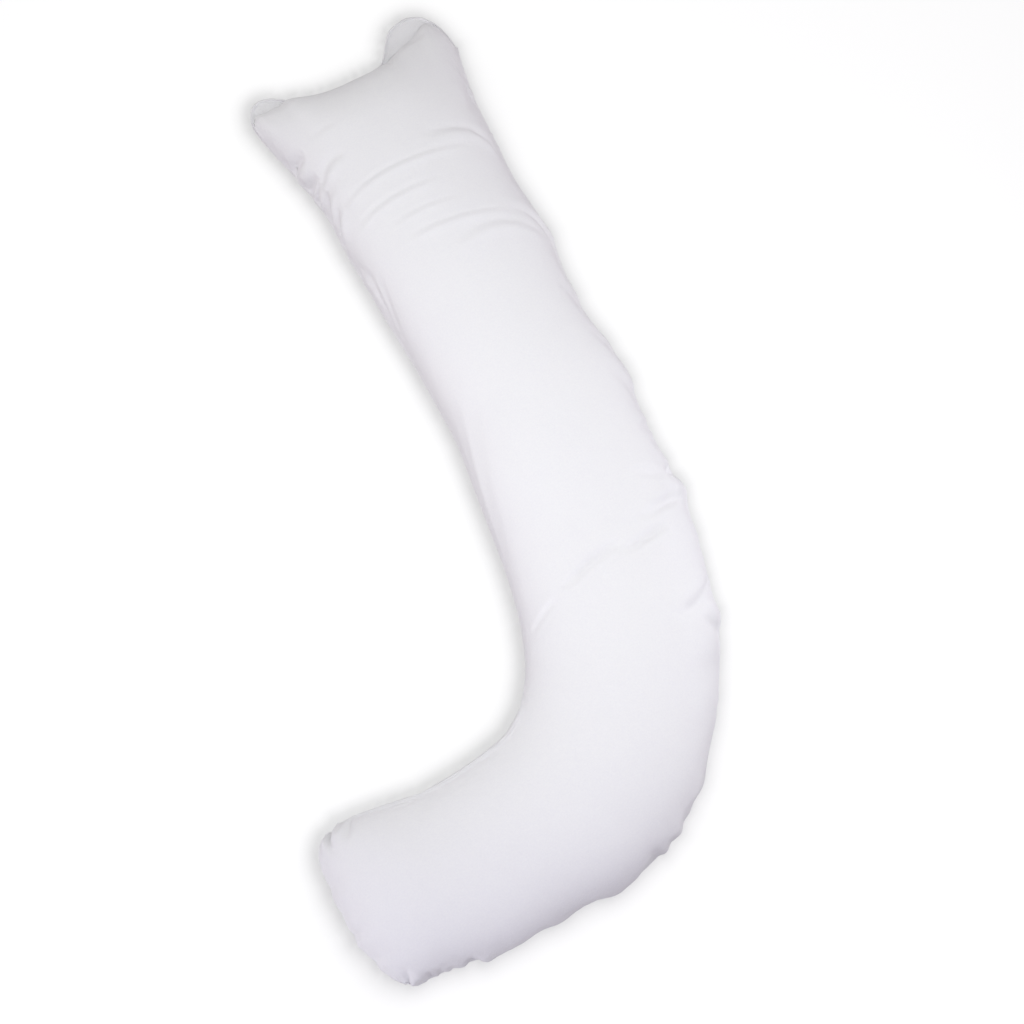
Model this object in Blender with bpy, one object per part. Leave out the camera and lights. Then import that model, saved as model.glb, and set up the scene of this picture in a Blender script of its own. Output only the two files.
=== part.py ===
"""A J-shaped body pillow lying on its back, in metres, +Z up.

Two panels of cotton with the same outline are sewn together round the edge and filled, so the
pillow is one closed solid. +Y runs up the long arm to the eared head end, the short foot turns
towards -X, and the origin is on the floor under the middle of the pillow's box.

Each panel starts as a flat grid. Its points are moved to a loft through the cuts of SECTIONS, and
the two panels are then welded along the seam.
"""

import math

import bmesh
import bpy
import numpy as np

NAME = "body_pillow"
FRONT, BACK = 1, -1

# Cells of one panel: from the foot end to the head end, and from the inner to the outer seam.
CELLS_ALONG = 104
CELLS_ACROSS = 26
WELD_DISTANCE = 1e-6

# Each row is a straight cut across the pillow, from the seam on the inner side of the J to the
# seam on its outer side, as seen from above. The roll is how far the seam has turned up over the
# edge, in degrees: at 0 it lies at the widest point of the cut, and under 0 it lies below it.
SECTION_COLUMNS = (
    "name", "inner_x", "inner_y", "outer_x", "outer_y", "thickness", "inner_roll", "outer_roll",
)
SECTIONS = (
    ("foot end", -0.297, -0.434, -0.284, -0.656, 0.140, 0, 0),
    ("toe", -0.244, -0.434, -0.231, -0.661, 0.152, 20, -20),
    ("sole", -0.167, -0.439, -0.147, -0.669, 0.160, 25, -22),
    ("instep", -0.097, -0.429, -0.052, -0.660, 0.166, 26, -22),
    ("heel", -0.047, -0.415, 0.047, -0.650, 0.170, 26, -18),
    ("low bend", -0.016, -0.395, 0.137, -0.603, 0.173, 20, -10),
    ("bend", 0.006, -0.372, 0.211, -0.518, 0.175, 4, 0),
    ("high bend", 0.025, -0.338, 0.264, -0.430, 0.175, -6, 3),
    ("calf", 0.036, -0.308, 0.286, -0.378, 0.174, -10, 4),
    ("knee", 0.044, -0.280, 0.297, -0.329, 0.173, -12, 5),
    ("thigh", 0.058, -0.195, 0.318, -0.215, 0.170, -14, 5),
    ("hip", 0.067, -0.080, 0.320, -0.080, 0.170, -14, 5),
    ("waist", 0.074, 0.025, 0.327, 0.025, 0.168, -14, 5),
    ("belly", 0.071, 0.085, 0.317, 0.085, 0.167, -13, 5),
    ("ribs", 0.067, 0.145, 0.313, 0.145, 0.166, -12, 5),
    ("breast", 0.063, 0.195, 0.316, 0.195, 0.166, -11, 5),
    ("chest", 0.059, 0.245, 0.320, 0.245, 0.166, -10, 5),
    ("shoulder", 0.048, 0.345, 0.312, 0.345, 0.162, -8, 5),
    ("neck", 0.043, 0.435, 0.312, 0.435, 0.158, -8, 5),
    ("cheek", 0.023, 0.520, 0.316, 0.520, 0.150, -6, 4),
    ("head end", 0.001, 0.598, 0.328, 0.598, 0.140, 0, 0),
)

# How far the seam across each end reaches past its straight cut, over the share of the way from
# the inner to the outer edge. The head end's is drawn in between two flat ears, and the foot
# end's is pushed out by the filling.
REACH_COLUMNS = ("share", "reach")
HEAD_SEAM = (
    (0.00, 0.000), (0.02, 0.016), (0.06, 0.028), (0.12, 0.028), (0.20, 0.013), (0.30, 0.003),
    (0.50, 0.003), (0.62, 0.010), (0.67, 0.020), (0.71, 0.040), (0.76, 0.062), (0.82, 0.072),
    (0.89, 0.073), (0.95, 0.058), (0.98, 0.036), (1.00, 0.000),
)
FOOT_SEAM = (
    (0.00, 0.000), (0.02, 0.009), (0.05, 0.018), (0.10, 0.026), (0.18, 0.031), (0.30, 0.033),
    (0.50, 0.034), (0.68, 0.031), (0.82, 0.023), (0.93, 0.012), (1.00, 0.000),
)

# Where the two panels lie flat on each other at the head end: the share of the way across that the
# flat place is centred on, how far it spreads, and how far it runs in from the seam. The larger
# the sharpness, the straighter the flat place's inner edge.
FLAT_SHARPNESS = 3
FLAT_COLUMNS = ("name", "share", "spread", "length")
HEAD_FLATS = (
    ("inner ear", 0.09, 0.075, 0.020),
    ("outer ear", 0.805, 0.125, 0.032),
)

# The filled form of a cut: how high its widest point is, as a share of the thickness, how full
# its upper and lower halves are, and how far the floor presses the lower half in.
WIDEST_SHARE = 0.46
UPPER_FULLNESS = 0.88
LOWER_FULLNESS = 0.70
PRESSED_IN = 0.014

# Near the ends a cut is squarer, because the seam there runs straight across. Two panels lying
# flat on each other are twice the least half thick.
END_BOXINESS = 0.6
LEAST_HALF = 0.0025

# At each end the cloth rises from the seam over the length of the rounding, and the seam's reach
# fades out over a longer stretch.
FOOT_ROUNDING = 0.085
HEAD_ROUNDING = 0.110
FOOT_REACH_FADE = 0.120
HEAD_REACH_FADE = 0.170
FOOT_SEAM_HEIGHT = 0.060
HEAD_SEAM_HEIGHT = 0.066

# The seam stands out a little along the edge of the filled form.
SEAM_RIDGE = 0.0025
SEAM_SPREAD = 0.012

# Soft troughs (height under 0) and ridges (over 0) in the front panel. Each runs on a bent line
# through three places on the cloth, given as metres of cloth from the foot seam and the share of
# the cloth's width from the inner seam. A crease fades out at both ends. A pucker is deepest at
# its first place, on the seam. The back panel has the same folds close to the seam, where the two
# panels pull on each other, and none further in.
PANEL_WIDTH = 0.34
FOLD_STEPS = 16
CREASE_TAPER = 0.7
BACK_SPREAD = 0.030
FOLD_COLUMNS = (
    "name", "along_1", "across_1", "along_2", "across_2", "along_3", "across_3",
    "half_width", "height", "kind",
)
FOLDS = (
    ("toe corner fold", 0.070, 0.00, 0.080, 0.10, 0.079, 0.19, 0.011, -0.006, "pucker"),
    ("toe corner pinch", 0.045, 0.00, 0.056, 0.11, 0.074, 0.22, 0.011, 0.004, "pucker"),
    ("toe end fold", 0.014, 0.08, 0.032, 0.16, 0.042, 0.25, 0.011, -0.006, "crease"),
    ("toe end dent", 0.000, 0.43, 0.025, 0.44, 0.055, 0.44, 0.012, -0.004, "pucker"),
    ("toe end pucker", 0.000, 0.64, 0.025, 0.63, 0.060, 0.62, 0.012, -0.005, "pucker"),
    ("toe pucker", 0.082, 1.00, 0.084, 0.91, 0.089, 0.83, 0.010, -0.005, "pucker"),
    ("sole pucker", 0.100, 1.00, 0.099, 0.91, 0.103, 0.82, 0.010, -0.006, "pucker"),
    ("sole tuck", 0.141, 1.00, 0.139, 0.91, 0.135, 0.81, 0.011, -0.008, "pucker"),
    ("heel fold", 0.348, 1.00, 0.347, 0.90, 0.345, 0.79, 0.011, 0.004, "pucker"),
    ("heel pucker", 0.364, 1.00, 0.362, 0.89, 0.358, 0.78, 0.012, -0.007, "pucker"),
    ("heel notch", 0.382, 1.00, 0.379, 0.91, 0.374, 0.80, 0.011, -0.005, "pucker"),
    ("bend pucker", 0.422, 1.00, 0.414, 0.92, 0.405, 0.84, 0.012, -0.005, "pucker"),
    ("knee pucker", 0.578, 1.00, 0.579, 0.88, 0.585, 0.75, 0.013, -0.006, "pucker"),
    ("knee crease", 0.633, 0.96, 0.609, 0.82, 0.585, 0.71, 0.013, -0.004, "crease"),
    ("long crease", 0.693, 0.58, 0.666, 0.44, 0.626, 0.26, 0.015, -0.004, "crease"),
    ("middle crease", 0.703, 0.75, 0.692, 0.67, 0.673, 0.59, 0.012, -0.005, "crease"),
    ("thigh crease", 0.750, 0.96, 0.732, 0.82, 0.720, 0.70, 0.012, -0.006, "crease"),
    ("thigh fold", 0.762, 1.00, 0.764, 0.92, 0.766, 0.84, 0.022, 0.007, "pucker"),
    ("thigh notch", 0.800, 1.00, 0.793, 0.93, 0.782, 0.85, 0.013, -0.007, "pucker"),
    ("hip pucker", 0.848, 1.00, 0.850, 0.92, 0.854, 0.83, 0.012, -0.005, "pucker"),
    ("inner long trough", 0.985, 0.26, 0.888, 0.18, 0.720, 0.06, 0.016, -0.005, "crease"),
    ("inner long ridge", 0.985, 0.19, 0.888, 0.11, 0.730, 0.02, 0.014, 0.003, "crease"),
    ("chest trough", 1.170, 0.12, 1.138, 0.07, 1.085, 0.02, 0.013, -0.004, "crease"),
    ("outer wave", 1.140, 0.93, 1.095, 0.93, 1.060, 0.93, 0.016, -0.003, "crease"),
    ("shoulder crease", 1.203, 0.47, 1.183, 0.77, 1.113, 0.97, 0.014, -0.005, "crease"),
    ("neck crease", 1.235, 0.38, 1.230, 0.55, 1.222, 0.75, 0.012, -0.004, "crease"),
    ("short neck crease", 1.266, 0.42, 1.268, 0.51, 1.265, 0.60, 0.011, -0.003, "crease"),
    ("cheek crease", 1.292, 0.23, 1.303, 0.42, 1.303, 0.58, 0.012, -0.005, "crease"),
    ("long cheek crease", 1.336, 0.26, 1.350, 0.54, 1.347, 0.74, 0.013, -0.005, "crease"),
    ("inner arc", 1.355, 0.03, 1.390, 0.17, 1.407, 0.33, 0.015, -0.006, "crease"),
    ("outer dimple", 1.378, 0.70, 1.364, 0.81, 1.335, 0.93, 0.015, -0.005, "crease"),
    ("brow crease", 1.443, 0.26, 1.449, 0.31, 1.457, 0.37, 0.010, -0.003, "crease"),
    ("neck pucker", 1.298, 0.00, 1.316, 0.08, 1.330, 0.16, 0.012, -0.005, "pucker"),
    ("jaw pucker", 1.338, 0.00, 1.345, 0.06, 1.354, 0.13, 0.011, -0.006, "pucker"),
    ("cheek pucker", 1.378, 0.00, 1.386, 0.07, 1.394, 0.14, 0.011, -0.006, "pucker"),
    ("brow pucker", 1.403, 0.00, 1.404, 0.06, 1.410, 0.13, 0.011, -0.007, "pucker"),
    ("ear pucker", 1.448, 0.00, 1.440, 0.06, 1.436, 0.12, 0.013, -0.009, "pucker"),
)

CLOTH_COLOUR = (0.80, 0.80, 0.82, 1.0)
CLOTH_ROUGHNESS = 0.85


def clear_scene():
    for thing in list(bpy.data.objects):
        bpy.data.objects.remove(thing, do_unlink=True)


def column(rows, columns, name):
    place = columns.index(name)
    return np.array([row[place] for row in rows], float)


def smooth_curve(knots, values, at):
    """A smooth curve through the values at the knots, read at each number of `at`."""
    slopes = np.gradient(values, knots)
    cell = np.clip(np.searchsorted(knots, at, side="right") - 1, 0, len(knots) - 2)
    width = knots[cell + 1] - knots[cell]
    t = np.clip((at - knots[cell]) / width, 0.0, 1.0)
    first = (1 + 2 * t) * (1 - t) ** 2 * values[cell] + t * (1 - t) ** 2 * width * slopes[cell]
    last = t * t * (3 - 2 * t) * values[cell + 1] + t * t * (t - 1) * width * slopes[cell + 1]
    return first + last


def eased(share):
    share = np.clip(share, 0.0, 1.0)
    return share * share * (3 - 2 * share)


def middle_line():
    """The distance of each cut from the foot end, along the middle of the pillow."""
    x = (column(SECTIONS, SECTION_COLUMNS, "inner_x") + column(SECTIONS, SECTION_COLUMNS, "outer_x")) / 2
    y = (column(SECTIONS, SECTION_COLUMNS, "inner_y") + column(SECTIONS, SECTION_COLUMNS, "outer_y")) / 2
    return np.concatenate([[0.0], np.cumsum(np.hypot(np.diff(x), np.diff(y)))])


STATIONS = middle_line()
LENGTH = STATIONS[-1]
STRAIGHT_LENGTH = LENGTH - FOOT_ROUNDING - HEAD_ROUNDING
QUARTER_TURN = math.pi / 2


def at_station(name, along):
    return smooth_curve(STATIONS, column(SECTIONS, SECTION_COLUMNS, name), along)


def cloth_length():
    """The length of a panel's cloth, over the top of the pillow from one end seam to the other."""
    return STRAIGHT_LENGTH + (FOOT_ROUNDING + HEAD_ROUNDING) * QUARTER_TURN


def row_places():
    """How far each row of the grid lies from the foot end.

    The rows are evenly spaced over the cloth, so they crowd together where it turns down to the
    end seams.
    """
    cloth = np.linspace(0.0, cloth_length(), CELLS_ALONG + 1)
    foot_turn = np.clip(cloth / FOOT_ROUNDING, 0.0, QUARTER_TURN)
    head_turn = np.clip((cloth[-1] - cloth) / HEAD_ROUNDING, 0.0, QUARTER_TURN)
    straight = np.clip(cloth - FOOT_ROUNDING * QUARTER_TURN, 0.0, STRAIGHT_LENGTH)
    return FOOT_ROUNDING * (1 - np.cos(foot_turn)) + straight + HEAD_ROUNDING * np.cos(head_turn)


def rise_from_seam(distance, share, flats, rounding):
    """How far the cloth has risen, from 0 at an end seam to 1 where the pillow is full."""
    flat = np.zeros_like(share)
    for row in flats:
        values = dict(zip(FLAT_COLUMNS, row))
        away = np.abs(share - values["share"]) / values["spread"]
        flat = flat + values["length"] * np.exp(-(away ** FLAT_SHARPNESS))
    gone = np.clip((distance - flat) / rounding, 0.0, 1.0)
    return np.sqrt(1 - (1 - gone) ** 2)


def seam_reach(table, share):
    shares = column(table, REACH_COLUMNS, "share")
    return smooth_curve(shares, column(table, REACH_COLUMNS, "reach"), share)


def pillow_points(side):
    """The points of one panel's grid on the plain filled form, as [along, across, xyz]."""
    along = row_places()[:, None]
    from_foot, from_head = along, LENGTH - along
    step = np.linspace(0.0, 1.0, CELLS_ACROSS + 1)[None, :]
    inner_roll = np.radians(at_station("inner_roll", along))
    outer_roll = np.radians(at_station("outer_roll", along))
    turn = inner_roll + side * step * (math.pi - side * (inner_roll + outer_roll))
    share = (1 - np.cos(turn)) / 2

    inner = np.stack([at_station("inner_x", along), at_station("inner_y", along)], -1)
    outer = np.stack([at_station("outer_x", along), at_station("outer_y", along)], -1)
    middle = (inner + outer)[:, 0, :] / 2
    heading = np.gradient(middle, axis=0)
    heading = heading / np.linalg.norm(heading, axis=1, keepdims=True)
    reach = seam_reach(HEAD_SEAM, share) * (1 - eased(from_head / HEAD_REACH_FADE))
    reach = reach - seam_reach(FOOT_SEAM, share) * (1 - eased(from_foot / FOOT_REACH_FADE))
    plan = inner + (outer - inner) * share[..., None] + heading[:, None, :] * reach[..., None]

    full = rise_from_seam(from_foot, share, (), FOOT_ROUNDING)
    full = full * rise_from_seam(from_head, share, HEAD_FLATS, HEAD_ROUNDING)
    near_middle = eased(from_foot / FOOT_ROUNDING) * eased(from_head / HEAD_ROUNDING)
    thickness = at_station("thickness", along)
    seam_height = np.where(from_foot < from_head, FOOT_SEAM_HEIGHT, HEAD_SEAM_HEIGHT)
    widest = seam_height + (thickness * WIDEST_SHARE - seam_height) * near_middle
    boxiness = END_BOXINESS + (1 - END_BOXINESS) * near_middle
    lift = np.sin(turn)
    upper = (thickness - widest) * full * np.abs(lift) ** (UPPER_FULLNESS * boxiness)
    lower = (widest + PRESSED_IN) * full * np.abs(lift) ** (LOWER_FULLNESS * boxiness)
    half = np.where(lift > 0, upper, -lower)
    off_seam = np.zeros_like(half)
    off_seam[1:-1, 1:-1] = side * LEAST_HALF
    half = np.where(np.abs(half) < LEAST_HALF, off_seam, half)
    height = np.maximum(widest + half, 0.0)
    return np.concatenate([plan, height[..., None]], -1)


def cloth_places():
    """Where each point of a panel's grid lies on the flat cloth: metres along, metres across."""
    along, across = np.meshgrid(
        np.linspace(0.0, cloth_length(), CELLS_ALONG + 1),
        np.linspace(0.0, PANEL_WIDTH, CELLS_ACROSS + 1),
        indexing="ij",
    )
    return np.stack([along, across], -1)


def fold_relief(cloth, fold):
    """How far one fold lifts or sinks each place on the cloth."""
    values = dict(zip(FOLD_COLUMNS, fold))
    ends = [
        np.array([values[f"along_{k}"], values[f"across_{k}"] * PANEL_WIDTH]) for k in (1, 2, 3)
    ]
    control = 2 * ends[1] - (ends[0] + ends[2]) / 2
    nearest = np.full(cloth.shape[:2], np.inf)
    strength = np.zeros(cloth.shape[:2])
    for t in np.linspace(0.0, 1.0, FOLD_STEPS + 1):
        spot = (1 - t) ** 2 * ends[0] + 2 * t * (1 - t) * control + t * t * ends[2]
        away = np.linalg.norm(cloth - spot, axis=-1)
        if values["kind"] == "pucker":
            here = eased(2 * (1 - t))
        else:
            here = math.sin(math.pi * t) ** CREASE_TAPER
        closer = away < nearest
        nearest = np.where(closer, away, nearest)
        strength = np.where(closer, here, strength)
    return values["height"] * strength * np.exp(-((nearest / values["half_width"]) ** 2))


def relief(side):
    """How far each point of a panel stands out from the plain filled form."""
    cloth = cloth_places()
    to_seam = np.minimum(cloth, [cloth_length(), PANEL_WIDTH] - cloth).min(axis=-1)
    folds = sum(fold_relief(cloth, fold) for fold in FOLDS)
    if side == BACK:
        folds = folds * np.exp(-to_seam / BACK_SPREAD)
    return folds + SEAM_RIDGE * np.exp(-to_seam / SEAM_SPREAD)


def make_panel(bm, side):
    """One panel of cloth, cut as a grid and moved to its place on the filled form."""
    points = pillow_points(side)
    lift = relief(side)
    lift_layer = bm.verts.layers.float.get("lift") or bm.verts.layers.float.new("lift")
    made = bmesh.ops.create_grid(bm, x_segments=CELLS_ALONG, y_segments=CELLS_ACROSS, size=1.0)
    for vert in made["verts"]:
        row = round((vert.co.x + 1) / 2 * CELLS_ALONG)
        place = round((vert.co.y + 1) / 2 * CELLS_ACROSS)
        vert.co = points[row, place]
        vert[lift_layer] = lift[row, place]
    # A corner cell has three points on the seam. Split along the diagonal between two of them, it
    # would lie on the other panel's cell, so it is split round its middle.
    corners = [vert.link_faces[0] for vert in made["verts"] if len(vert.link_faces) == 1]
    bmesh.ops.poke(bm, faces=corners)


def crease_cloth(bm):
    """Moves each point along its normal by its relief. Nothing goes below the floor."""
    lift_layer = bm.verts.layers.float["lift"]
    bm.normal_update()
    for vert in bm.verts:
        vert.co += vert.normal * vert[lift_layer]
        vert.co.z = max(vert.co.z, 0.0)


def cotton():
    cloth = bpy.data.materials.new("white_cotton")
    cloth.use_nodes = True
    shader = cloth.node_tree.nodes["Principled BSDF"]
    shader.inputs["Base Color"].default_value = CLOTH_COLOUR
    shader.inputs["Roughness"].default_value = CLOTH_ROUGHNESS
    shader.inputs["Metallic"].default_value = 0.0
    return cloth


def sew_pillow():
    bm = bmesh.new()
    for side in (FRONT, BACK):
        make_panel(bm, side)
    bmesh.ops.remove_doubles(bm, verts=bm.verts, dist=WELD_DISTANCE)
    bmesh.ops.recalc_face_normals(bm, faces=bm.faces)
    crease_cloth(bm)
    mesh = bpy.data.meshes.new("pillow")
    bm.to_mesh(mesh)
    bm.free()
    mesh.shade_smooth()
    mesh.materials.append(cotton())
    return bpy.data.objects.new("pillow", mesh)


def main():
    clear_scene()
    collection = bpy.data.collections.new(NAME)
    bpy.context.scene.collection.children.link(collection)
    collection.objects.link(sew_pillow())


main()
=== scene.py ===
# %% [markdown]
# # A J-shaped body pillow in white cotton
#
# The real thing is two J-shaped panels of smooth white cotton, sewn together round the edge and
# stuffed. This lesson rebuilds it round a imported CAD model: the same form at a finer mesh, a cloth
# simulation for the small gathers, creases placed one by one, the sewn edge and its stitches, and a
# cotton material. The CAD model fixes the size, so it is loaded first and its box is kept.

# %% Load the imported part
import math
import time

import bpy
import numpy as np
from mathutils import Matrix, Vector
from mathutils.kdtree import KDTree


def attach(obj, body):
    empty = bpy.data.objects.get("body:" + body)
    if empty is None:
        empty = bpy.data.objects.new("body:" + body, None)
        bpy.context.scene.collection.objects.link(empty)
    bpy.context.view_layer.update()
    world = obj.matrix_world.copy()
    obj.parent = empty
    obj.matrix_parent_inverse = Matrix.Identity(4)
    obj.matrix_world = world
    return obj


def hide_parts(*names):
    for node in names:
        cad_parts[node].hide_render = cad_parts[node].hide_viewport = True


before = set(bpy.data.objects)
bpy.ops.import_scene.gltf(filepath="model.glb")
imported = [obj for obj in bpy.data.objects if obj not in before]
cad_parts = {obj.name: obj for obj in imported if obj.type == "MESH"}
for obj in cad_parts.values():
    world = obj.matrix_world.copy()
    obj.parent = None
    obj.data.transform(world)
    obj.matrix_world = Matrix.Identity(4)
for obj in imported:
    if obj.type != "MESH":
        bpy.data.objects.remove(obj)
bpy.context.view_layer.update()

# %% [markdown]
# ## The camera
#
# The photograph looks steeply down on the pillow, from the side of its foot. A long lens from far
# off keeps the two ends in proportion. The camera comes early, because all the rest is judged from
# it.

# %% Camera
CAMERA_TARGET = Vector((0.098, -0.125, 0.080))
CAMERA_AZIMUTH = math.radians(-24)
CAMERA_ELEVATION = math.radians(68)
CAMERA_DISTANCE = 3.2
CAMERA_LENS = 82.1


def from_target(azimuth, elevation, distance):
    """A place seen from the target at that azimuth and elevation."""
    flat = math.cos(elevation)
    away = Vector((math.sin(azimuth) * flat, -math.cos(azimuth) * flat, math.sin(elevation)))
    return CAMERA_TARGET + away * distance


def aim(thing, at):
    thing.rotation_mode = "QUATERNION"
    thing.rotation_quaternion = (at - thing.location).to_track_quat("-Z", "Y")


camera = bpy.data.objects.new("camera", bpy.data.cameras.new("camera"))
bpy.context.scene.collection.objects.link(camera)
camera.data.lens = CAMERA_LENS
camera.location = from_target(CAMERA_AZIMUTH, CAMERA_ELEVATION, CAMERA_DISTANCE)
aim(camera, CAMERA_TARGET)
bpy.context.scene.camera = camera
print("camera at", [round(value, 3) for value in camera.location])

# %% [markdown]
# ## The filled form
#
# A stuffed J is a loft: straight cuts across it, from the seam on its inner side to the seam on its
# outer side, each with a thickness. The seam rolls up over the edge where the filling turns the
# cloth. The cuts are the same as the CAD part's, so the dressed pillow fits round it.

# %% The cuts
SECTION_COLUMNS = (
    "name", "inner_x", "inner_y", "outer_x", "outer_y", "thickness", "inner_roll", "outer_roll",
)
SECTIONS = (
    ("foot end", -0.297, -0.434, -0.284, -0.656, 0.140, 0, 0),
    ("toe", -0.244, -0.434, -0.231, -0.661, 0.152, 20, -20),
    ("sole", -0.167, -0.439, -0.147, -0.669, 0.160, 25, -22),
    ("instep", -0.097, -0.429, -0.052, -0.660, 0.166, 26, -22),
    ("heel", -0.047, -0.415, 0.047, -0.650, 0.170, 26, -18),
    ("low bend", -0.016, -0.395, 0.137, -0.603, 0.173, 20, -10),
    ("bend", 0.006, -0.372, 0.211, -0.518, 0.175, 4, 0),
    ("high bend", 0.025, -0.338, 0.264, -0.430, 0.175, -6, 3),
    ("calf", 0.036, -0.308, 0.286, -0.378, 0.174, -10, 4),
    ("knee", 0.044, -0.280, 0.297, -0.329, 0.173, -12, 5),
    ("thigh", 0.058, -0.195, 0.318, -0.215, 0.170, -14, 5),
    ("hip", 0.067, -0.080, 0.320, -0.080, 0.170, -14, 5),
    ("waist", 0.074, 0.025, 0.327, 0.025, 0.168, -14, 5),
    ("belly", 0.071, 0.085, 0.317, 0.085, 0.167, -13, 5),
    ("ribs", 0.067, 0.145, 0.313, 0.145, 0.166, -12, 5),
    ("breast", 0.063, 0.195, 0.316, 0.195, 0.166, -11, 5),
    ("chest", 0.059, 0.245, 0.320, 0.245, 0.166, -10, 5),
    ("shoulder", 0.048, 0.345, 0.312, 0.345, 0.162, -8, 5),
    ("neck", 0.043, 0.435, 0.312, 0.435, 0.158, -8, 5),
    ("cheek", 0.023, 0.520, 0.316, 0.520, 0.150, -6, 4),
    ("head end", 0.001, 0.598, 0.328, 0.598, 0.140, 0, 0),
)
# How far the seam across each end reaches past its straight cut.
REACH_COLUMNS = ("share", "reach")
HEAD_SEAM = (
    (0.00, 0.000), (0.02, 0.016), (0.06, 0.028), (0.12, 0.028), (0.20, 0.013), (0.30, 0.003),
    (0.50, 0.003), (0.62, 0.010), (0.67, 0.020), (0.71, 0.040), (0.76, 0.062), (0.82, 0.072),
    (0.89, 0.073), (0.95, 0.058), (0.98, 0.036), (1.00, 0.000),
)
FOOT_SEAM = (
    (0.00, 0.000), (0.02, 0.009), (0.05, 0.018), (0.10, 0.026), (0.18, 0.031), (0.30, 0.033),
    (0.50, 0.034), (0.68, 0.031), (0.82, 0.023), (0.93, 0.012), (1.00, 0.000),
)
# Where the two panels lie flat on each other: the two ears.
FLAT_COLUMNS = ("name", "share", "spread", "length")
HEAD_FLATS = (
    ("inner ear", 0.09, 0.075, 0.020),
    ("outer ear", 0.805, 0.125, 0.032),
)
print(len(SECTIONS), "cuts,", len(HEAD_SEAM), "+", len(FOOT_SEAM), "places on the end seams")


# %% Reading the tables
def column(rows, columns, name):
    place = columns.index(name)
    return np.array([row[place] for row in rows], float)


def smooth_curve(knots, values, at):
    """A smooth curve through the values at the knots, read at each number of `at`."""
    slopes = np.gradient(values, knots)
    cell = np.clip(np.searchsorted(knots, at, side="right") - 1, 0, len(knots) - 2)
    width = knots[cell + 1] - knots[cell]
    t = np.clip((at - knots[cell]) / width, 0.0, 1.0)
    first = (1 + 2 * t) * (1 - t) ** 2 * values[cell] + t * (1 - t) ** 2 * width * slopes[cell]
    last = t * t * (3 - 2 * t) * values[cell + 1] + t * t * (t - 1) * width * slopes[cell + 1]
    return first + last


def eased(share):
    share = np.clip(share, 0.0, 1.0)
    return share * share * (3 - 2 * share)


def middle_line():
    """The distance of each cut from the foot end, along the middle of the pillow."""
    x, y = (
        column(SECTIONS, SECTION_COLUMNS, f"inner_{axis}")
        + column(SECTIONS, SECTION_COLUMNS, f"outer_{axis}")
        for axis in "xy"
    )
    return np.concatenate([[0.0], np.cumsum(np.hypot(np.diff(x / 2), np.diff(y / 2)))])


STATIONS = middle_line()
LENGTH = STATIONS[-1]


def at_station(name, along):
    return smooth_curve(STATIONS, column(SECTIONS, SECTION_COLUMNS, name), along)


print("length along the middle:", round(LENGTH, 3), "m")

# %% [markdown]
# ## From flat cloth to the filled form
#
# Every point of the pillow is named by its place on the flat cloth: metres from the foot seam and
# a share of the way from the inner to the outer seam. That makes a crease easy to place, gives the
# weave its own map, and keeps the mesh a tidy grid. The grid is closer near the seams, where the
# small shapes are.

# %% Places on the cloth
FRONT, BACK = 1, -1
FOOT_ROUNDING, HEAD_ROUNDING = 0.085, 0.110
QUARTER_TURN = math.pi / 2
STRAIGHT_LENGTH = LENGTH - FOOT_ROUNDING - HEAD_ROUNDING
CLOTH_LENGTH = STRAIGHT_LENGTH + (FOOT_ROUNDING + HEAD_ROUNDING) * QUARTER_TURN
CLOTH_WIDTH = 0.34
CELLS_ALONG, CELLS_ACROSS = 496, 98
SPACING_COLUMNS = ("place", "spacing")
# Metres of cloth from the foot seam, and how far apart the rows lie there, in millimetres.
ROW_SPACING = (
    (0.00, 2.2), (0.12, 2.4), (0.28, 3.6), (0.38, 2.5), (0.56, 3.2), (0.76, 3.0), (0.98, 4.6),
    (1.15, 2.6), (1.40, 2.4), (1.60, 2.2),
)
# Shares of the way across, and how far apart the places lie there.
PLACE_SPACING = (
    (0.00, 1.1), (0.05, 2.3), (0.20, 4.0), (0.50, 4.8), (0.80, 4.0), (0.95, 2.3), (1.00, 1.1),
)
SPACING_SAMPLES = 4000


def spaced(count, table, end):
    """Places from 0 to the end, closer together where the table says."""
    at = np.linspace(0.0, end, SPACING_SAMPLES)
    knots = column(table, SPACING_COLUMNS, "place")
    density = 1 / np.interp(at, knots, column(table, SPACING_COLUMNS, "spacing"))
    passed = np.concatenate([[0.0], np.cumsum((density[1:] + density[:-1]) / 2)])
    return np.interp(np.linspace(0.0, passed[-1], count + 1), passed, at)


def plan_distance(cloth):
    """How far along the plan a place on the cloth is, as the cloth turns down at both ends."""
    foot_turn = np.clip(cloth / FOOT_ROUNDING, 0.0, QUARTER_TURN)
    head_turn = np.clip((CLOTH_LENGTH - cloth) / HEAD_ROUNDING, 0.0, QUARTER_TURN)
    straight = np.clip(cloth - FOOT_ROUNDING * QUARTER_TURN, 0.0, STRAIGHT_LENGTH)
    return FOOT_ROUNDING * (1 - np.cos(foot_turn)) + straight + HEAD_ROUNDING * np.cos(head_turn)


cloth_along = spaced(CELLS_ALONG, ROW_SPACING, CLOTH_LENGTH)
cloth_across = spaced(CELLS_ACROSS, PLACE_SPACING, 1.0)
print("cloth", round(CLOTH_LENGTH, 3), "x", CLOTH_WIDTH, "m, cells of",
      round(np.diff(cloth_across).min() * CLOTH_WIDTH * 1000, 1), "to",
      round(np.diff(cloth_along).max() * 1000, 1), "mm")

# %% The loft
# How high a cut's widest point is, how full its two halves are, and how far the floor presses in.
WIDEST_SHARE = 0.46
UPPER_FULLNESS, LOWER_FULLNESS = 0.88, 0.70
PRESSED_IN = 0.014
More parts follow.
